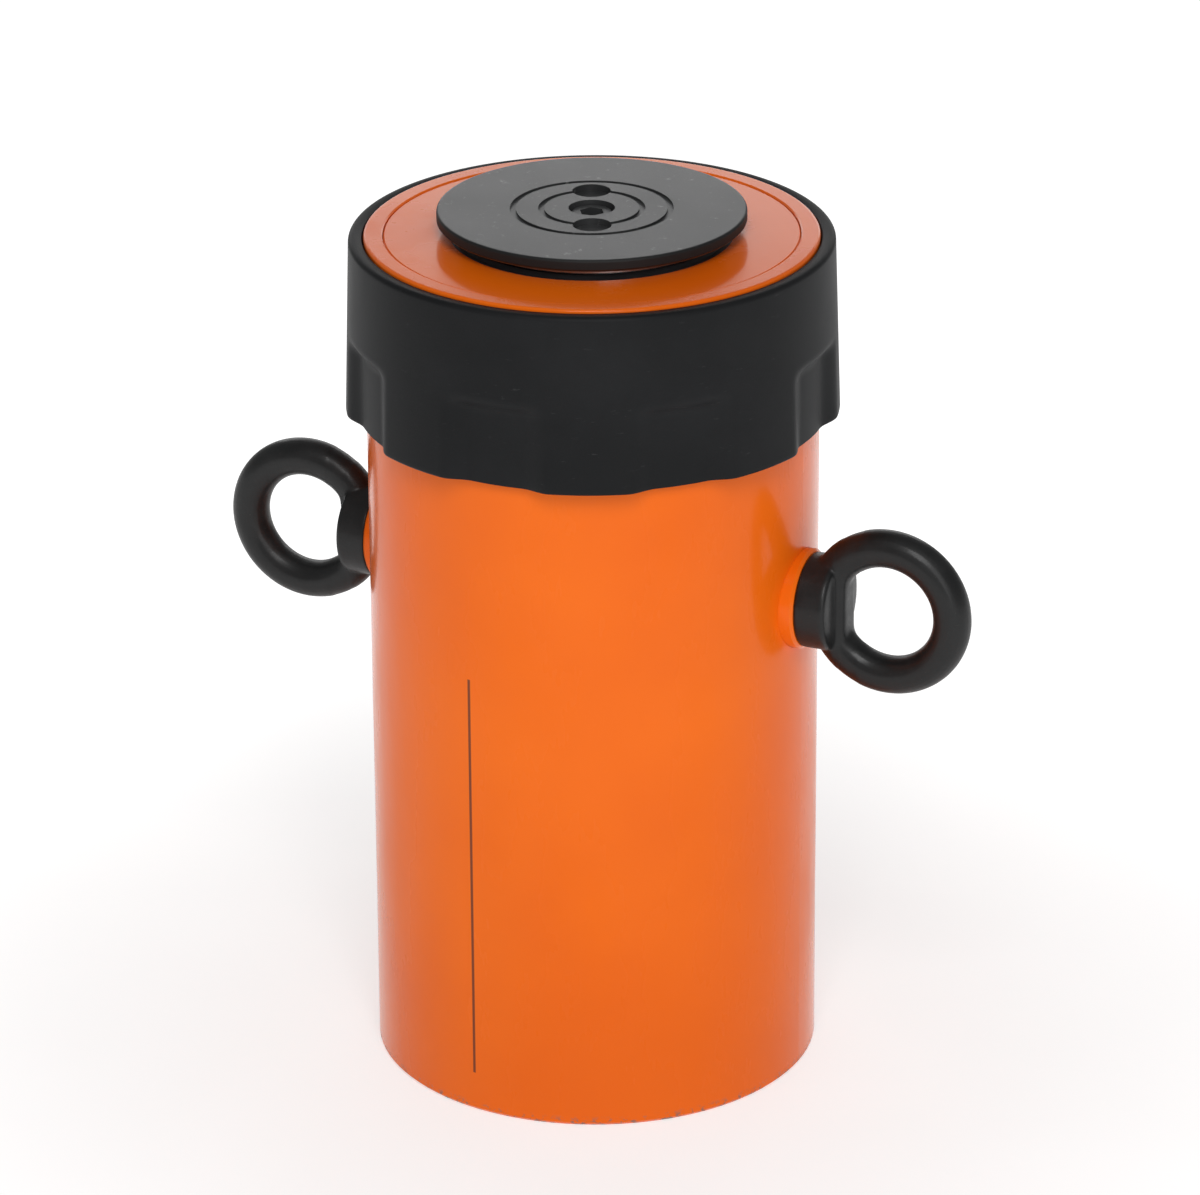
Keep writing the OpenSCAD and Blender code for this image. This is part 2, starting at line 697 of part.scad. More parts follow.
// Poppet that closes on its cone; its stem is what the hose's half pushes in
module coupler_valve() {
    back_y = valve_seat_y - valve_cone_l - valve_head_l;
    color("silver") along_y() revolve([
        [0, back_y], [valve_head_r - 2 * edge, back_y], [valve_head_r - 2 * edge, back_y + 2 * edge],
        [valve_head_r, back_y + 2 * edge], [valve_head_r, valve_seat_y - valve_cone_l - seat_gap],
        [valve_stem_r + edge / 2, valve_seat_y - seat_gap], [valve_stem_r, valve_seat_y],
        [valve_stem_r, valve_seat_y + valve_stem_l - edge],
        [valve_stem_r - edge, valve_seat_y + valve_stem_l], [0, valve_seat_y + valve_stem_l]
    ]);
}

module coupler_valve_spring() {
    from = clip_y + clip_h + valve_spring_wire;
    to = valve_seat_y - valve_cone_l - valve_head_l + 2 * edge - valve_spring_wire;
    color("slategray") along_y() coil(valve_head_r - valve_spring_wire, valve_spring_wire, from,
                                      (to - from) / valve_spring_turns, valve_spring_turns, 14, 6);
}

module coupler_clip() {
    color("silver") along_y()
        ring(valve_head_r - clip_w, valve_bore_r + clip_groove_t - seat_gap, clip_y + seat_gap, clip_h);
}

module coupler_o_ring() {
    color("dimgray") along_y()
        ring(socket_r - free_gap, socket_r + socket_seal_t, socket_seal_y, socket_seal_h);
}

// Screw-on cap with finger flutes
module dust_cap() {
    color("crimson") along_y() difference() {
        revolve([
            [cap_in_r + edge / 2, cap_y], [cap_r - edge, cap_y], [cap_r, cap_y + edge],
            [cap_r, cap_end_y - 2 * edge], [cap_r - 2 * edge, cap_end_y], [0, cap_end_y],
            [0, cap_end_y - cap_end_t], [cap_in_r, cap_end_y - cap_end_t], [cap_in_r, cap_y + edge / 2]
        ]);
        for (i = [0 : cap_flutes - 1]) rotate(360 / cap_flutes * i)
            translate([cap_r + cap_flute_r / 2, 0, cap_y + 4 * edge])
                cylinder(r = cap_flute_r, h = cap_end_y - cap_y, $fn = 24);
    }
}

module dust_cap_seal() {
    color("dimgray") along_y() translate([0, 0, nose_end_y + slip_gap])
        cylinder(r = cap_in_r - slip_gap, h = cap_seal_h);
}

barrel();
gland_nut();
gland_guide_ring();
gland_wiper();
gland_o_ring();
gland_lock_screw();
plunger();
piston_guide_ring();
piston_seal();
piston_backup_ring();
saddle();
saddle_screw();
return_spring();
spring_base_anchor();
spring_head_anchor();
thread_protector();
eye_boss_left();
eye_boss_right();
eye_bolt_left();
eye_bolt_right();
coupler_body();
coupler_bonded_seal();
coupler_valve();
coupler_valve_spring();
coupler_clip();
coupler_o_ring();
dust_cap();
dust_cap_seal();
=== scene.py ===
# %% [markdown]
# # A hydraulic lifting cylinder
#
# This file dresses a finished CAD model of a hydraulic cylinder: a thick orange barrel with a
# black ring round its collar, a low saddle on its plunger, two lifting eyes and an oil coupler at
# the back. The CAD model already holds every piece in its place, so it is loaded as a fixed frame
# and never moved. What is left to do here is what the eye reads first: the finish of each surface,
# and the soft edges and blends of the pieces that were moulded or forged and not turned on a
# lathe.

# %% Load the frame
import math

import bmesh
import bpy
from mathutils import Matrix, Vector


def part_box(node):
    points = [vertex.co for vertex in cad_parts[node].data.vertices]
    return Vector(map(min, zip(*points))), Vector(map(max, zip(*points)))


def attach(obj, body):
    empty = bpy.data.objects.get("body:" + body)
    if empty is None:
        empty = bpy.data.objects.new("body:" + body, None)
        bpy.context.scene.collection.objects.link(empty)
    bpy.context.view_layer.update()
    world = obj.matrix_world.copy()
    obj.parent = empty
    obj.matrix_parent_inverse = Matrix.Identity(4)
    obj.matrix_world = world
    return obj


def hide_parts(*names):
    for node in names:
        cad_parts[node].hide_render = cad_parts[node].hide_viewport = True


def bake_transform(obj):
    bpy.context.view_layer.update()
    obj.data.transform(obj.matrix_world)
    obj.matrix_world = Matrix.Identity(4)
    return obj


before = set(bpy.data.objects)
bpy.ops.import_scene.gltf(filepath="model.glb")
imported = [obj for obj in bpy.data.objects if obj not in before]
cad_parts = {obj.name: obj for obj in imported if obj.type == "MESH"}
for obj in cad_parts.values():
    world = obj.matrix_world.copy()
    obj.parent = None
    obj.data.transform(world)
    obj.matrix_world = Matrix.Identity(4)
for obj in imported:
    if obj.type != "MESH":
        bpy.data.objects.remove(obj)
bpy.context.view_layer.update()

MM = 0.001
print("pieces from CAD:", len(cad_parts))

# %% [markdown]
# ## Camera
#
# A camera can be aimed with a Track To constraint or by typing angles. Here it is placed the way a
# photographer would say it: how far away, how high, from which side, and how steeply it looks
# down. Its turn is written as a matrix from three directions: right, up and backwards, because a
# camera looks along its own -Z. A long lens from two metres away keeps the barrel's sides almost
# parallel.

# %% Camera
CAMERA_SIDE = math.radians(23.73)    # swung from the front towards the right-hand eye
CAMERA_DISTANCE = 2.1157
CAMERA_HEIGHT = 1.0753
CAMERA_PITCH = math.radians(23.02)
CAMERA_YAW = 0.001
CAMERA_ROLL = -0.006
LENS = 186.76                        # mm
SENSOR_WIDTH = 36                    # mm
FARTHEST_SEEN = 20                   # metres


def aim_camera():
    """Looks at the cylinder from the front right, a little above it."""
    towards = Matrix.Rotation(CAMERA_SIDE, 3, "Z")
    forward = towards @ Vector((
        math.sin(CAMERA_YAW) * math.cos(CAMERA_PITCH),
        math.cos(CAMERA_YAW) * math.cos(CAMERA_PITCH),
        -math.sin(CAMERA_PITCH),
    ))
    level = forward.cross(Vector((0, 0, 1))).normalized()
    steep = level.cross(forward)
    right = math.cos(CAMERA_ROLL) * level + math.sin(CAMERA_ROLL) * steep
    up = math.cos(CAMERA_ROLL) * steep - math.sin(CAMERA_ROLL) * level
    camera = bpy.data.objects.new("camera", bpy.data.cameras.new("camera"))
    camera.data.lens = LENS
    camera.data.sensor_width = SENSOR_WIDTH
    camera.data.clip_end = FARTHEST_SEEN
    turn = Matrix((right, up, -forward)).transposed().to_4x4()
    place = towards @ Vector((0, -CAMERA_DISTANCE, CAMERA_HEIGHT))
    camera.matrix_world = Matrix.Translation(place) @ turn
    bpy.context.collection.objects.link(camera)
    bpy.context.scene.camera = camera
    return camera


camera = aim_camera()
print("camera at", [round(c, 3) for c in camera.matrix_world.translation])

# %% [markdown]
# ## Writing finishes as sums
#
# A procedural finish is a small calculation, such as "a little rougher where the dust lies".
# Wiring it node by node is long and hard to read, so two small classes do the wiring. `Value`
# wraps one output of a node, and `+`, `-` and `*` on it add Math nodes. `Finish` is one material:
# `node` adds any other kind of node, and `feed` joins a result to the shader. What is the same all
# over a surface is set straight on the shader instead, so that it stays a plain number.

# %% The two classes
MIX_FACTOR, MIX_FIRST, MIX_SECOND = 0, 6, 7    # the colour inputs of a Mix node
MIX_RESULT = 2                                 # and its colour output


class Value:
    """One output of a node. Arithmetic on it adds Math nodes."""

    def __init__(self, finish, socket):
        self.finish = finish
        self.socket = socket

    def out(self, name):
        """Another output of the same node."""
        return Value(self.finish, self.socket.node.outputs[name])

    def math(self, operation, first, second=0.0):
        """A Math node."""
        return self.finish.node("ShaderNodeMath", {"operation": operation}, {0: first, 1: second})

    def __add__(self, other):
        return self.math("ADD", self, other)

    def __sub__(self, other):
        return self.math("SUBTRACT", self, other)

    def __rsub__(self, other):
        return self.math("SUBTRACT", other, self)

    def __mul__(self, other):
        return self.math("MULTIPLY", self, other)

    __radd__ = __add__
    __rmul__ = __mul__

    def size(self):
        """Its distance from 0."""
        return self.math("ABSOLUTE", self)

    def sine(self):
        """A wave from -1 to 1."""
        return self.math("SINE", self)

    def between(self, low, high):
        """Goes smoothly from 0 where this is at low to 1 where it is at high."""
        return self.finish.node("ShaderNodeMapRange", {"interpolation_type": "SMOOTHSTEP"},
                                {"Value": self, "From Min": low, "From Max": high})


class Finish:
    """A material on the Principled shader. Constants are given by their socket's name."""

    def __init__(self, name, **constants):
        self.material = bpy.data.materials.new(name)
        self.material.use_nodes = True
        self.nodes = self.material.node_tree.nodes
        self.links = self.material.node_tree.links
        self.shader = self.nodes["Principled BSDF"]
        for socket, number in constants.items():
            self.shader.inputs[socket.replace("_", " ")].default_value = number
        self.place = self.node("ShaderNodeTexCoord", {}, {}).out("Object")

    def node(self, kind, settings, inputs):
        """Adds a node: its settings first, then a value or a link for each socket."""
        node = self.nodes.new(kind)
        for name, setting in settings.items():
            setattr(node, name, setting)
        for socket, value in inputs.items():
            if isinstance(value, Value):
                self.links.new(value.socket, node.inputs[socket])
            else:
                node.inputs[socket].default_value = value
        shown = [socket for socket in node.outputs if socket.enabled]
        return Value(self, shown[0])

    def noise(self, per_metre, detail=2.0, where=None, roughness=0.5):
        """Cloudy noise from 0 to 1, with so many lumps to the metre."""
        return self.node("ShaderNodeTexNoise", {"noise_dimensions": "3D"},
                         {"Vector": where or self.place, "Scale": per_metre, "Detail": detail,
                          "Roughness": roughness})

    def stretched(self, x, y, z):
        """The place with each axis multiplied. A pattern is drawn out where the number is small."""
        return self.node("ShaderNodeVectorMath", {"operation": "MULTIPLY"},
                         {0: self.place, 1: (x, y, z)})

    def axes(self):
        """X, Y and Z of the place."""
        split = self.node("ShaderNodeSeparateXYZ", {}, {"Vector": self.place})
        return split.out("X"), split.out("Y"), split.out("Z")

    def radius(self):
        """Distance from the cylinder's axis."""
        x, y, _ = self.axes()
        return x.math("SQRT", x * x + y * y)

    def mix(self, mask, first, second):
        """Goes from the first colour to the second as the mask goes from 0 to 1."""
        colour = [c if isinstance(c, Value) else (*c, 1) for c in (first, second)]
        mixed = self.nodes.new("ShaderNodeMix")
        mixed.data_type = "RGBA"
        for socket, value in zip((MIX_FACTOR, MIX_FIRST, MIX_SECOND), (mask, *colour)):
            if isinstance(value, Value):
                self.links.new(value.socket, mixed.inputs[socket])
            else:
                mixed.inputs[socket].default_value = value
        return Value(self, mixed.outputs[MIX_RESULT])

    def bump(self, height, depth, below=None):
        """A Bump node for a height from 0 to 1 that stands for so many metres."""
        inputs = {"Height": height, "Distance": depth, "Strength": 1.0}
        if below:
            inputs["Normal"] = below
        return self.node("ShaderNodeBump", {}, inputs)

    def feed(self, **results):
        """Joins results to the shader's sockets."""
        for socket, value in results.items():
            self.links.new(value.socket, self.shader.inputs[socket.replace("_", " ")])


print("finishes are written with Finish and Value")

# %% [markdown]
# ## Orange enamel
#
# The barrel and the gland are sprayed with the same glossy enamel. Sprayed paint is never quite
# flat: it dries with an orange-peel ripple two or three millimetres across, and its shade drifts a
# little. A clear coat over the colour gives the sharp reflection of the studio. Handling leaves
# faint smears that show only as roughness. The foot, which gets slid over floors, loses its paint
# in small chips.

# %% Orange enamel
ORANGE = (0.87, 0.15, 0.004)
ORANGE_DEEP = (0.80, 0.125, 0.003)
PRIMER = (0.16, 0.15, 0.14)
PEEL_DEPTH = 0.04 * MM
PAINT_DEPTH = 0.12 * MM              # what a chip takes away
CHIPPED_UP_TO = 4.5 * MM             # height above the floor
CLEAR_COAT = 0.46
RULE_INK = (0.2, 0.045, 0.014)
RULE_SIDE = math.radians(-99.6)      # where the thin printed rule stands, about the axis
RULE_LOW, RULE_HIGH = 15.6 * MM, 173.8 * MM
RULE_WIDTH = 1.1 * MM
SOFT_SIDE, SOFT_END = 0.15 * MM, 0.2 * MM    # how far the ink fades at its edges


def orange_enamel(name, with_rule):
    """Glossy sprayed paint with a soft orange-peel ripple."""
    finish = Finish(name, Coat_Roughness=0.12, Coat_IOR=1.3, IOR=1.45, Specular_IOR_Level=0.1)
    x, y, z = finish.axes()
    drift = finish.noise(per_metre=9, detail=3)
    colour = finish.mix(drift.between(0.3, 0.7), ORANGE, ORANGE_DEEP)
    specks = finish.noise(per_metre=420, detail=4, roughness=0.7)
    worn = z.between(CHIPPED_UP_TO, 0) * specks.between(0.52, 0.6)
    colour = finish.mix(worn, colour, PRIMER)
    if with_rule:
        colour = finish.mix(printed_rule(finish, x, y, z), colour, RULE_INK)
    smears = finish.noise(per_metre=26, detail=5, where=finish.stretched(1, 1, 0.35), roughness=0.6)
    finish.feed(Base_Color=colour)
    finish.feed(Roughness=0.24 + smears.between(0.4, 0.8) * 0.14 + worn * 0.3)
    finish.feed(Coat_Weight=(1 - worn) * (CLEAR_COAT - smears.between(0.45, 0.8) * 0.16))
    peel = finish.bump(finish.noise(per_metre=340, detail=1.5), PEEL_DEPTH)
    finish.feed(Normal=finish.bump(1 - worn, PAINT_DEPTH, peel))
    return finish.material


def printed_rule(finish, x, y, z):
    """A thin upright line on the barrel, on one side only."""
    across = x * -math.sin(RULE_SIDE) + y * math.cos(RULE_SIDE)
    facing = x * math.cos(RULE_SIDE) + y * math.sin(RULE_SIDE)
    line = across.size().between(RULE_WIDTH / 2 + SOFT_SIDE, RULE_WIDTH / 2 - SOFT_SIDE)
    ends = z.between(RULE_LOW - SOFT_END, RULE_LOW) * z.between(RULE_HIGH + SOFT_END, RULE_HIGH)
    return line * ends * facing.between(0, 10 * MM)


barrel_paint = orange_enamel("barrel_enamel", True)
gland_paint = orange_enamel("gland_enamel", False)
print("enamel nodes:", len(barrel_paint.node_tree.nodes))

# %% [markdown]
# ## Moulded black
#
# Three blacks meet on this object and must not look alike, though their colours are nearly the
# same. What tells them apart is how each one answers the light. The protector ring is moulded
# plastic: it has a fine grain, no clear coat and low specular, so it stays deep and even, with a
# soft sheen only.

# %% Moulded black
MOULDED_DARK, MOULDED_LIGHT = (0.0085, 0.009, 0.0097), (0.0125, 0.013, 0.014)
SCUFF_GREY = (0.07, 0.07, 0.072)
MOULDED_GRAIN = 0.05 * MM


def moulded_black(name):
    """Matt plastic with a spark-eroded grain and a few pale scuffs."""
    finish = Finish(name, IOR=1.48, Specular_IOR_Level=0.12)
    clouds = finish.noise(per_metre=30, detail=4)
    grain = finish.noise(per_metre=1700, detail=3, roughness=0.6)
    colour = finish.mix(clouds.between(0.3, 0.75), MOULDED_DARK, MOULDED_LIGHT)
    flat = finish.stretched(1, 1, 5)
    scuffs = finish.noise(per_metre=150, detail=6, where=flat, roughness=0.7).between(0.62, 0.75)
    finish.feed(Base_Color=finish.mix(scuffs * 0.35, colour, SCUFF_GREY))
    finish.feed(Roughness=0.44 + clouds * 0.14 + scuffs * 0.12)
    finish.feed(Normal=finish.bump(grain, MOULDED_GRAIN))
    return finish.material


ring_plastic = moulded_black("moulded_black")
print("moulded black nodes:", len(ring_plastic.node_tree.nodes))

# %% [markdown]
# ## Forged black
#
# The eye bolts are drop forgings under thin black paint. Scale and the die leave their surface
# gently rolling, with small pits in it. Two Bump nodes in a row do that: the wide dents go in
# first, and the pits are added to the normal that comes out of them. Paint is thinner on the high
# spots, so the coat's weight follows the dents too.

# %% Forged black
FORGED_DARK, FORGED_LIGHT = (0.007, 0.0073, 0.0075), (0.0135, 0.0138, 0.014)
PIT_BROWN = (0.06, 0.052, 0.046)
DENT_DEPTH, PIT_DEPTH = 0.35 * MM, 0.06 * MM


def forged_black(name):
    """Thin black paint over a drop forging: rolling dents under small pits."""
    finish = Finish(name, IOR=1.5, Specular_IOR_Level=0.22, Coat_Roughness=0.22)
    dents = finish.noise(per_metre=110, detail=3)
    pits = finish.noise(per_metre=900, detail=4, roughness=0.65)
    colour = finish.mix(dents.between(0.35, 0.7), FORGED_DARK, FORGED_LIGHT)
    finish.feed(Base_Color=finish.mix(pits.between(0.66, 0.74) * 0.5, colour, PIT_BROWN))
    finish.feed(Roughness=0.36 + pits * 0.2)
    finish.feed(Coat_Weight=0.26 - dents.between(0.3, 0.7) * 0.16)
    rolled = finish.bump(dents, DENT_DEPTH)
    finish.feed(Normal=finish.bump(pits, PIT_DEPTH, rolled))
    return finish.material


eye_black = forged_black("forged_black")
print("forged black nodes:", len(eye_black.node_tree.nodes))

# %% [markdown]
# ## Blackened turned steel
#
# The saddle is hardened steel that was faced on a lathe and then blackened. The tool left rings
# too fine to count, which pull the reflections into a soft, even grey. They are a sine wave of the
# distance from the axis, used as a bump. The rounded rim is painted near black and made rougher:
# that is painted shade, standing for the shade that falls on the rim.

# %% Blackened turned steel
BLACKENED_DARK, BLACKENED_LIGHT = (0.034, 0.035, 0.036), (0.048, 0.0495, 0.05)
RUBBED_STEEL = (0.26, 0.26, 0.26)
# Painted shade: the rim's near-black colour stands for shade on it, not for the steel's own finish.
RIM_PAINTED_SHADE = (0.003, 0.003, 0.0032)
RIM_START, RIM_END = 55.1 * MM, 55.7 * MM    # distances from the axis
CUT_PITCH = 0.42 * MM
CUT_DEPTH = 0.012 * MM


def turned_black(name):
    """Blackened steel with the fine rings of a facing cut."""
    finish = Finish(name, IOR=1.5, Specular_IOR_Level=0.4)
    radius = finish.radius()
    clouds = finish.noise(per_metre=45, detail=4)
    rings = (radius * (2 * math.pi / CUT_PITCH)).sine() * 0.5 + 0.5
    colour = finish.mix(clouds.between(0.3, 0.7), BLACKENED_DARK, BLACKENED_LIGHT)
    rubbed = finish.noise(per_metre=260, detail=6, roughness=0.7).between(0.6, 0.72)
    # The band of the rim that gets the painted shade, and a little more roughness.
    shaded_rim = radius.between(RIM_START, RIM_END)
    colour = finish.mix(rubbed * 0.5, colour, RUBBED_STEEL)
    # Painted shade: the rim is coloured near black.
    finish.feed(Base_Color=finish.mix(shaded_rim, colour, RIM_PAINTED_SHADE))
    finish.feed(Metallic=0.1 + rubbed * 0.3)
    finish.feed(Roughness=0.3 + clouds * 0.12 - rubbed * 0.06 + shaded_rim * 0.25)
    finish.feed(Normal=finish.bump(rings + clouds * 0.3, CUT_DEPTH))
    return finish.material


saddle_steel = turned_black("turned_black")
print("turned black nodes:", len(saddle_steel.node_tree.nodes))

# %% [markdown]
# ## Chrome, plated steel and springs
#
# These metals are mostly inside or at the back. The plunger is ground and then hard-chromed, so it
# mirrors the room but keeps hair-fine grinding lines round it: the same noise as elsewhere,
# squeezed hard along the axis. Zinc plating is greyer and cloudy, and the springs are dark with
# oil.

# %% Metals
CHROME_DARK, CHROME_LIGHT = (0.4, 0.405, 0.41), (0.48, 0.48, 0.48)
GRINDING_DEPTH = 0.006 * MM
PLATING_DEPTH = 0.012 * MM


def hard_chrome(name):
    """Ground, chromed steel with hair-fine lines that run round it."""
    finish = Finish(name, Metallic=1.0)
    squeezed = finish.stretched(60, 60, 9000)
    lines = finish.noise(per_metre=1, detail=3, where=squeezed, roughness=0.6)
    film = finish.noise(per_metre=18, detail=4)
    finish.feed(Base_Color=finish.mix(film.between(0.3, 0.7), CHROME_DARK, CHROME_LIGHT))
    finish.feed(Roughness=0.12 + film.between(0.35, 0.75) * 0.09 + lines * 0.06)
    finish.feed(Normal=finish.bump(lines, GRINDING_DEPTH))
    return finish.material


def plated_steel(name, dark, light, rough):
    """Steel with a thin plated or oiled skin: cloudy, with a fine tooth."""
    finish = Finish(name, Metallic=1.0)
    clouds = finish.noise(per_metre=120, detail=5, roughness=0.6)
    fine = finish.noise(per_metre=2400, detail=3)
    finish.feed(Base_Color=finish.mix(clouds.between(0.3, 0.7), dark, light))
    finish.feed(Roughness=rough + clouds * 0.12 + fine * 0.06)
    finish.feed(Normal=finish.bump(fine, PLATING_DEPTH))
    return finish.material


plunger_chrome = hard_chrome("hard_chrome")
zinc = plated_steel("zinc_plate", dark=(0.42, 0.425, 0.42), light=(0.56, 0.56, 0.54), rough=0.24)
spring_steel = plated_steel("oiled_spring", dark=(0.17, 0.175, 0.19), light=(0.27, 0.275, 0.28),
                            rough=0.3)
print("metals: chrome, zinc plate, spring steel")

# %% [markdown]
# ## Rubber, fabric and plastics
#
# Seals are satin rubber, the backing ring is pale acetal, and the dust cap is a red moulding. One
# function makes all three, because only their colours, shine and grain differ. The guide rings are
# woven fabric soaked in resin. Multiplying two crossed sine waves gives a grid of small bumps,
# which reads as a weave.

# %% Rubber, fabric and plastics
CLOTH_DARK, CLOTH_LIGHT = (0.24, 0.15, 0.06), (0.46, 0.33, 0.15)
WEAVE_TURN = 4200                    # radians of its waves to the metre: threads 1.5 mm apart
WEAVE_DEPTH = 0.08 * MM


def moulded(name, colour, shade, rough, grain_depth):
    """A moulded part: even colour, soft clouds, and a grain as deep as told."""
    finish = Finish(name, IOR=1.48)
    clouds = finish.noise(per_metre=60, detail=4)
    grain = finish.noise(per_metre=1300, detail=3, roughness=0.6)
    finish.feed(Base_Color=finish.mix(clouds.between(0.3, 0.75), colour, shade))
    finish.feed(Roughness=rough + clouds * 0.14)
    finish.feed(Normal=finish.bump(grain, grain_depth))
    return finish.material


def guide_fabric(name):
    """Resin-bonded cloth, with its weave as two crossed waves."""
    finish = Finish(name, IOR=1.5)
    x, y, z = finish.axes()
    warp = ((x + y) * WEAVE_TURN).sine() * 0.5 + 0.5
    weft = (z * WEAVE_TURN).sine() * 0.5 + 0.5
    weave = warp * weft
    finish.feed(Base_Color=finish.mix(weave, CLOTH_DARK, CLOTH_LIGHT))
    finish.feed(Roughness=0.5 + weave * 0.2)
    finish.feed(Normal=finish.bump(weave, WEAVE_DEPTH))
    return finish.material


rubber = moulded("satin_rubber", colour=(0.022, 0.022, 0.024), shade=(0.036, 0.036, 0.038),
                 rough=0.42, grain_depth=0.02 * MM)
acetal = moulded("white_acetal", colour=(0.78, 0.77, 0.73), shade=(0.7, 0.69, 0.64),
                 rough=0.35, grain_depth=0.01 * MM)
cap_red = moulded("red_moulding", colour=(0.52, 0.018, 0.012), shade=(0.4, 0.012, 0.01),
                  rough=0.33, grain_depth=0.03 * MM)
bearing_cloth = guide_fabric("bearing_cloth")
print("plastics: rubber, acetal, red moulding, bearing cloth")

# %% [markdown]
# ## Dressing the CAD pieces
#
# A CAD piece whose shape is right keeps its mesh and only gets a finish. Assigning to the slots of
# its own material list is enough. Lathe work such as the barrel, the plunger and the saddle is in
# this group, because a turned shape is exactly what CAD gives.

# %% Dress them
FINISHES = {
    barrel_paint: ["barrel"],
    gland_paint: ["gland_nut", "eye_boss_left", "eye_boss_right"],
    saddle_steel: ["saddle", "saddle_screw"],
    plunger_chrome: ["plunger"],
    zinc: ["gland_lock_screw", "spring_base_anchor", "spring_head_anchor", "coupler_body",
           "coupler_valve"],
    spring_steel: ["coupler_clip"],
    rubber: ["gland_wiper", "gland_o_ring", "piston_seal", "coupler_bonded_seal", "coupler_o_ring",
             "dust_cap_seal"],
    bearing_cloth: ["gland_guide_ring", "piston_guide_ring"],
    acetal: ["piston_backup_ring"],
    cap_red: ["dust_cap"],
}
for material, names in FINISHES.items():
    for name in names:
        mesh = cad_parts[name].data
        mesh.materials.clear()
        mesh.materials.append(material)
        print(f"{name:22} {material.name:14} {len(mesh.polygons)} faces")

# %% [markdown]
# ## Making a piece
#
# Every new piece goes through the same last steps: doubled points are merged, the faces are turned
# to point outwards, the mesh becomes an object at the origin, the CAD piece it stands for is
# hidden, and the object is hung on the body it rides on and given its finish. Round pieces start as
# a profile of a few points that `bmesh.ops.spin` carries all the way round an axis.

# %% Helpers for new pieces
MERGE_WITHIN = 1e-6                  # metres


def finish_piece(name, bm, material, body, replaces):
    """Turns a bmesh into a smooth-shaded object that stands for a CAD piece."""
    bmesh.ops.remove_doubles(bm, verts=bm.verts, dist=MERGE_WITHIN)
    bmesh.ops.recalc_face_normals(bm, faces=bm.faces)
    mesh = bpy.data.meshes.new(name)
    bm.to_mesh(mesh)
    bm.free()
    mesh.shade_smooth()
    mesh.materials.append(material)
    piece = bpy.data.objects.new(name, mesh)
    bpy.context.collection.objects.link(piece)
    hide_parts(replaces)
    if body:
        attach(piece, body)
    print(f"{name:22} {len(mesh.polygons)} faces, rides on {body}")
    return piece


def spin_profile(points, centre, axis, steps):
    """Carries a closed outline of points all the way round an axis."""
    bm = bmesh.new()
    corners = [bm.verts.new(point) for point in points]
    edges = [bm.edges.new((a, b)) for a, b in zip(corners, corners[1:] + corners[:1])]
    bmesh.ops.spin(bm, geom=corners + edges, cent=centre, axis=axis, angle=2 * math.pi,
                   steps=steps, use_merge=True, use_duplicate=False)
    return bm


def arc(x, y, radius, start, end, steps):
    """Points of a round corner, from one angle to another in degrees."""
    turns = [math.radians(start + (end - start) * i / steps) for i in range(steps + 1)]
    return [(x + radius * math.cos(t), y + radius * math.sin(t)) for t in turns]


def circle(radius, sides):
    """Points of a circle round 0, without a last one on top of the first."""
    return arc(0, 0, radius, 0, 360 - 360 / sides, sides - 1)


def smooth_step(value, low, high):
    """0 at low, 1 at high, and level at both ends."""
    share = min(max((value - low) / (high - low), 0.0), 1.0)
    return share * share * (3 - 2 * share)


print("helpers ready")

# %% [markdown]
# ## Protector ring
#
# The ring is moulded, so nothing on it has a sharp edge. A boolean cut would leave knife edges
# round each grip recess, and bevelling them afterwards is fragile on curved walls. It is easier to
# spin a plain ring with enough points in it, and then press the recesses in: each point on the
# outside moves towards the recess floor by a share that fades out at the recess's sides and top.
# The fade is what makes the edges round.

# %% Protector ring
LUGS = 8
TOP_WALL = 5.5 * MM                  # from the barrel's surface to the ring's outside, at the top
BARREL_GAP = 0.3 * MM
TOP_ROUND, BOTTOM_ROUND = 1.8 * MM, 1.2 * MM
INNER_CHAMFER = 0.5 * MM
RECESS_WALL = 3.2 * MM
RECESS_HEIGHT = 33 * MM
RECESS_FADE = 6 * MM
RECESS_FLOOR = math.radians(6.3)     # half its width at the floor
RECESS_SIDE = math.radians(13.6)     # half its width where it meets the lugs
LUG_STEPS = 56
RING_ROWS = 44


def ring_profile(low, high, inner, barrel, outer):
    """Outline of the ring at x > 0, from its bottom inside corner round and back."""
    bottom = arc(outer - BOTTOM_ROUND, low + BOTTOM_ROUND, BOTTOM_ROUND, -90, 0, steps=6)
    top = arc(barrel + TOP_WALL - TOP_ROUND, high - TOP_ROUND, TOP_ROUND, 0, 90, steps=8)
    start, end = Vector(bottom[-1]), Vector(top[0])
    wall = [start.lerp(end, i / RING_ROWS) for i in range(1, RING_ROWS)]
    inside = [(inner + INNER_CHAMFER, high), (inner, high - INNER_CHAMFER),
              (inner, low + INNER_CHAMFER), (inner + INNER_CHAMFER, low)]
    return [(x, 0, z) for x, z in inside[3:] + bottom + wall + top + inside[:3]]


def press_recesses(bm, low, floor_radius):
    """Moves the outside points in towards the recess floor, between the lugs."""
    pitch = 2 * math.pi / LUGS
    for vert in bm.verts:
        radius = math.hypot(vert.co.x, vert.co.y)
        if radius <= floor_radius:
            continue
        angle = math.atan2(vert.co.y, vert.co.x)
        from_middle = abs((angle + pitch / 2) % pitch - pitch / 2)
        across = 1 - smooth_step(from_middle, RECESS_FLOOR, RECESS_SIDE)
        up = 1 - smooth_step(vert.co.z - low, RECESS_HEIGHT - RECESS_FADE, RECESS_HEIGHT)
        scale = 1 + (floor_radius / radius - 1) * across * up
        vert.co.x *= scale
        vert.co.y *= scale


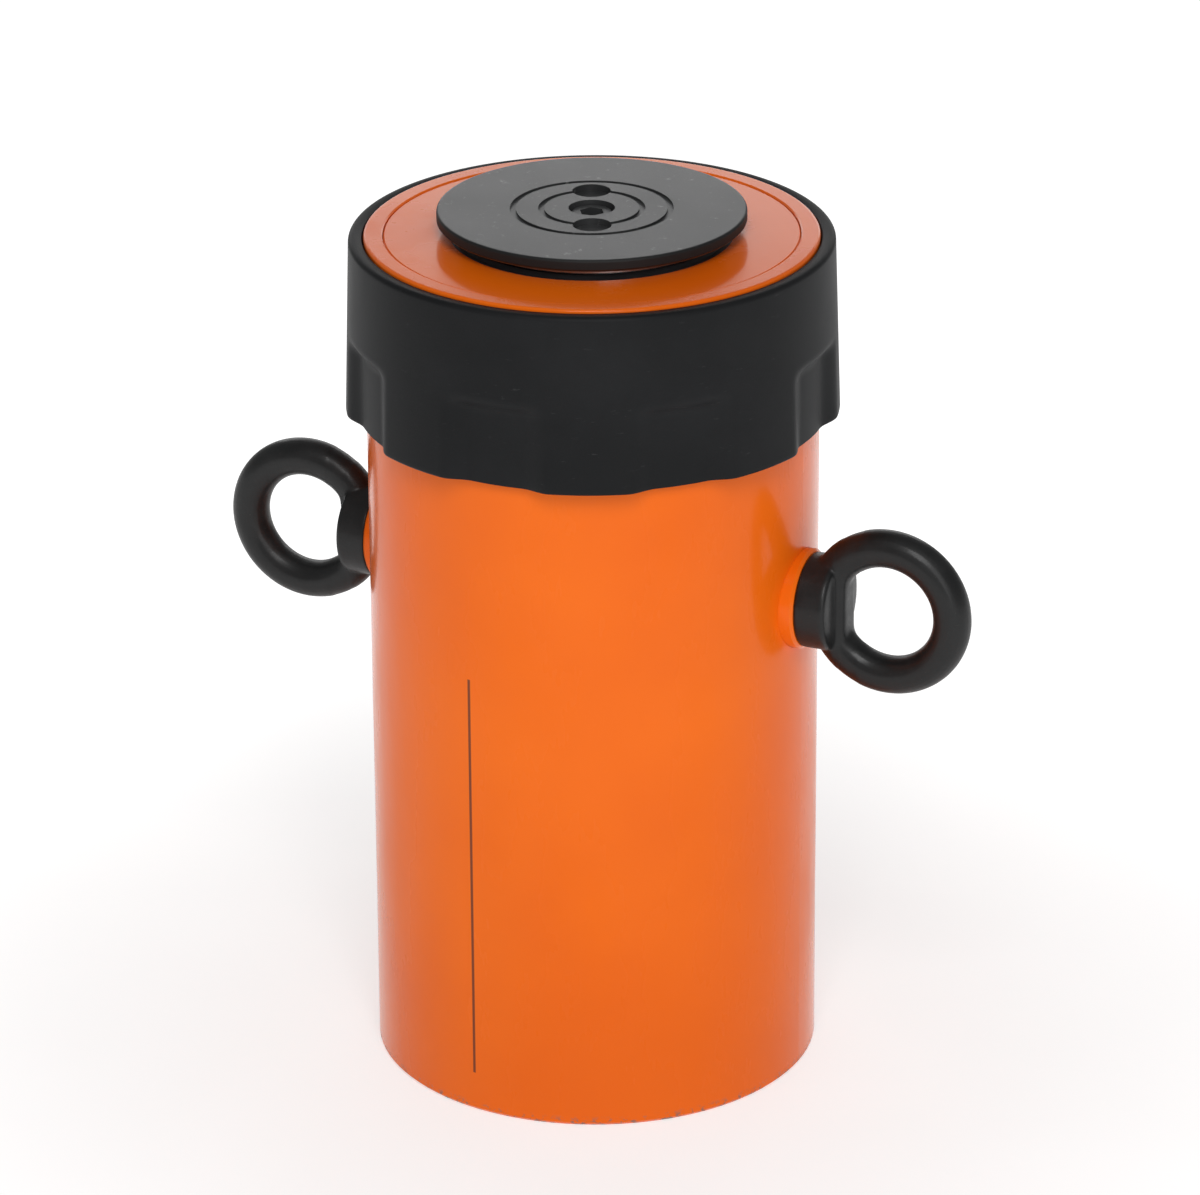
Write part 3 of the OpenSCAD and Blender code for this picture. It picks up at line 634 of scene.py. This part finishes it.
def protector_ring():
    """A plain ring, spun from its outline, with its grip recesses pressed in."""
    low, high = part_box("thread_protector")
    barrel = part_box("barrel")[1][0]
    profile = ring_profile(low[2], high[2], barrel + BARREL_GAP, barrel, high[0])
    bm = spin_profile(profile, (0, 0, 0), (0, 0, 1), LUGS * LUG_STEPS)
    press_recesses(bm, low[2], barrel + RECESS_WALL)
    finish_piece("protector_ring", bm, ring_plastic, "thread_protector",
                 "thread_protector")


protector_ring()

# %% [markdown]
# ## Eye bolts
#
# An eye bolt is forged from one bar, so its ring flows into its collar through a fillet. Two
# crossing solids have a hard crease there. One cure is to model the blend by hand, another is to
# rebuild all the solids together as one skin of small even squares with a voxel remesh, and to
# relax the points near the crease until it has become a fillet. The second takes a few lines and
# gives an even mesh, so that is what is done. The thread below the collar sits in the barrel and
# is part of the same forging.

# %% Eye bolts
EYE_WIRE = 14 * MM
EYE_HOLE = 17.5 * MM                 # radius
BOLT_HEIGHT = 62 * MM                # from the collar's seat to the top of the ring
COLLAR_RADIUS = 17.5 * MM
COLLAR_THICKNESS = 12 * MM
WEB_WIDTH = 30 * MM
WEB_IN_HOLE = 2.5 * MM               # how far the web flattens the hole
WEB_INSET = 1 * MM                   # how far the web stays inside ring and collar
THREAD_RADIUS = 8 * MM
THREAD_CHAMFER = 1 * MM
COLLAR_CHAMFER, COLLAR_ROUND = 0.6 * MM, 2 * MM
RING_OFF_SEAT = 0.2 * MM
POLE = 0.01 * MM                     # how far an outline stays off its axis
WIRE_SIDES, RING_SIDES, SHANK_SIDES = 24, 120, 96
WELD_WITHIN = 1e-7                   # metres, less than the steps round a pole
VOXEL = 0.55 * MM
FILLET_BEFORE, FILLET_PAST = 0.3 * MM, 5 * MM    # how far the fillet reaches round the web
FILLET_PASSES = 36


def eye_ring(centre, seat):
    """The eye: a round bar carried round an axis along Y, and flat where it meets the seat."""
    middle = EYE_HOLE + EYE_WIRE / 2
    section = [(centre.x + middle + x, y, centre.z) for x, y in circle(EYE_WIRE / 2, WIRE_SIDES)]
    bm = spin_profile(section, centre, (0, 1, 0), RING_SIDES)
    for vert in bm.verts:
        vert.co.x = max(vert.co.x, seat + RING_OFF_SEAT)
    return bm


def eye_shank(seat, tip, z):
    """Thread and collar: one outline carried round the bolt's own axis."""
    top = seat + COLLAR_THICKNESS
    outline = [(tip, POLE), (tip, THREAD_RADIUS - THREAD_CHAMFER),
               (tip + THREAD_CHAMFER, THREAD_RADIUS), (seat, THREAD_RADIUS),
               (seat, COLLAR_RADIUS - COLLAR_CHAMFER), (seat + COLLAR_CHAMFER, COLLAR_RADIUS)]
    outline += arc(top - COLLAR_ROUND, COLLAR_RADIUS - COLLAR_ROUND, COLLAR_ROUND, 90, 0,
                   steps=5)
    outline.append((top, POLE))
    return spin_profile([(x, 0, z + r) for x, r in outline], (0, 0, z), (1, 0, 0), SHANK_SIDES)


def eye_web(seat, end, z):
    """The flat block between collar and ring that gives the hole its straight side."""
    bm = bmesh.new()
    bmesh.ops.create_cube(bm, size=1)
    size = (end - seat - WEB_INSET, EYE_WIRE - 2 * WEB_INSET, WEB_WIDTH)
    bmesh.ops.scale(bm, vec=size, verts=bm.verts)
    bmesh.ops.translate(bm, vec=((end + seat + WEB_INSET) / 2, 0, z), verts=bm.verts)
    return bm


def voxel_union(*solids):
    """Rebuilds solids that cross each other as one skin of even small squares."""
    together = bmesh.new()
    for bm in solids:
        bmesh.ops.remove_doubles(bm, verts=bm.verts, dist=WELD_WITHIN)
        bmesh.ops.recalc_face_normals(bm, faces=bm.faces)
        mesh = bpy.data.meshes.new("raw")
        bm.to_mesh(mesh)
        bm.free()
        together.from_mesh(mesh)
        bpy.data.meshes.remove(mesh)
    mesh = bpy.data.meshes.new("raw")
    together.to_mesh(mesh)
    raw = bpy.data.objects.new("raw", mesh)
    bpy.context.collection.objects.link(raw)
    remesh = raw.modifiers.new("remesh", "REMESH")
    remesh.mode = "VOXEL"
    remesh.voxel_size = VOXEL
    bpy.context.view_layer.update()
    together.clear()
    together.from_mesh(raw.evaluated_get(bpy.context.evaluated_depsgraph_get()).to_mesh())
    bpy.data.meshes.remove(mesh)     # its object goes with it
    return together


def relax(bm, verts, passes):
    """Moves each point half-way to the middle of its neighbours, again and again."""
    for _ in range(passes):
        bmesh.ops.smooth_vert(bm, verts=verts, factor=0.5,
                              use_axis_x=True, use_axis_y=True, use_axis_z=True)


def eye_bolt(side):
    """A whole bolt. It is worked out on the right, and mirrored where side is -1."""
    node = "eye_bolt_right" if side > 0 else "eye_bolt_left"
    low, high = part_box(node)
    inward, outward = (low[0], high[0]) if side > 0 else (-high[0], -low[0])
    centre = Vector((outward - EYE_HOLE - EYE_WIRE, 0, (low[2] + high[2]) / 2))
    seat = outward - BOLT_HEIGHT
    web_end = centre.x - EYE_HOLE + WEB_IN_HOLE
    bm = voxel_union(eye_ring(centre, seat), eye_shank(seat, inward, centre.z),
                     eye_web(seat, web_end, centre.z))
    start, end = seat + COLLAR_THICKNESS - FILLET_BEFORE, web_end + FILLET_PAST
    relax(bm, [v for v in bm.verts if start < v.co.x < end], FILLET_PASSES)
    relax(bm, [v for v in bm.verts if v.co.x > seat + 2 * COLLAR_CHAMFER], passes=2)
    if side < 0:
        bmesh.ops.scale(bm, vec=(-1, 1, 1), verts=bm.verts)
    name = "eye_left" if side < 0 else "eye_right"
    finish_piece(name, bm, eye_black, "barrel", node)


for side in (-1, 1):
    eye_bolt(side)

# %% [markdown]
# ## Springs
#
# The return spring hides inside the plunger and pulls it down, so it stretches when the plunger
# rises, and a small one behind the coupler's valve is squeezed. A helix of points could be swept
# into a tube by hand, but `bmesh.ops.spin` makes a helix as well: it turns a section round an axis
# and shifts it a little at each step.

# %% Springs
STEPS_PER_TURN = 24
SECTION_SIDES = 12


def wound_spring(name, node, wire, turns, axis):
    """A spring that fills the box of the CAD one, wound along the given axis."""
    low, high = (Vector(corner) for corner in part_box(node))
    along = Vector(axis)
    middle = (low + high) / 2
    length = (high - low).dot(along)
    radius = (high.x - low.x - wire) / 2
    start = middle - along * (length - wire) / 2
    steps = turns * STEPS_PER_TURN
    bm = bmesh.new()
    section = [bm.verts.new(start + Vector((radius + out, 0, 0)) + along * up)
               for out, up in circle(wire / 2, SECTION_SIDES)]
    bmesh.ops.spin(bm, geom=[bm.faces.new(section)], cent=start, axis=along,
                   angle=2 * math.pi * turns, dvec=along * (length - wire) / steps, steps=steps,
                   use_merge=False, use_duplicate=False)
    piece = finish_piece(name, bm, spring_steel, None, node)
    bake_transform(piece)


wound_spring("pull_spring", "return_spring", wire=7 * MM, turns=26, axis=(0, 0, 1))
wound_spring("valve_spring", "coupler_valve_spring", wire=1.2 * MM, turns=6, axis=(0, 1, 0))

# %% [markdown]
# ## Floor and light
#
# The cylinder stands on pale paper under soft light. A bright world would do for the paper, but it
# would also fill every shadow and turn the blacks grey. So the world is dim, and the paper glows a
# little by itself, more with distance, which keeps a soft shadow at the foot. A large softbox
# straight above the camera models the round of the barrel, and a weak one a little to the right
# opens the shadows. Behind the cylinder stands a low light that the top face and the saddle mirror
# towards the camera.

# %% Floor and light
FLOOR_REACH = 6                      # metres from the middle to each side
GLOW_START, GLOW_END = 0.1, 0.5      # metres from the axis
SURROUND = 0.27
AIM = Vector((0, 0, 0.17))           # what the lights point at: the barrel's middle


def grey(level):
    """A colour without hue."""
    return (level, level, level)


def sweep():
    """A flat sheet of paper, brighter away from the cylinder."""
    bm = bmesh.new()
    bmesh.ops.create_grid(bm, x_segments=8, y_segments=8, size=FLOOR_REACH)
    mesh = bpy.data.meshes.new("floor")
    bm.to_mesh(mesh)
    bm.free()
    paper = Finish("floor_paper", Roughness=0.9, Specular_IOR_Level=0.1, Emission_Strength=1)
    fibres = paper.noise(per_metre=14, detail=5)
    paper.feed(Base_Color=paper.mix(fibres, grey(0.5), grey(0.54)))
    far = paper.radius().between(GLOW_START, GLOW_END)
    paper.feed(Emission_Color=paper.mix(far, grey(0.57), grey(0.85)))
    mesh.materials.append(paper.material)
    floor = bpy.data.objects.new("floor", mesh)
    bpy.context.collection.objects.link(floor)


def softbox(name, side, distance, height, size, power):
    """An area light at so many degrees to the right of the camera, aimed at the cylinder."""
    light = bpy.data.lights.new(name, "AREA")
    light.shape = "RECTANGLE"
    light.size, light.size_y = size
    light.energy = power
    turn = Matrix.Rotation(CAMERA_SIDE + math.radians(side), 3, "Z")
    place = turn @ Vector((0, -distance, height))
    lamp = bpy.data.objects.new(name, light)
    lamp.rotation_euler = (AIM - place).to_track_quat("-Z", "Y").to_euler()
    lamp.location = place
    bpy.context.collection.objects.link(lamp)


def surround(brightness):
    """An even white world of so much brightness."""
    world = bpy.data.worlds.new("studio")
    world.use_nodes = True
    background = world.node_tree.nodes["Background"]
    background.inputs["Color"].default_value = (1, 1, 1, 1)
    background.inputs["Strength"].default_value = brightness
    bpy.context.scene.world = world


sweep()
surround(SURROUND)
softbox("key", side=1, distance=1.9, height=2.1, size=(0.9, 1.1), power=30)
softbox("fill", side=16, distance=2.0, height=0.8, size=(0.7, 1.2), power=6)
softbox("back", side=180, distance=0.85, height=0.46, size=(0.9, 0.36), power=1.7)
bpy.context.scene.view_settings.view_transform = "Standard"
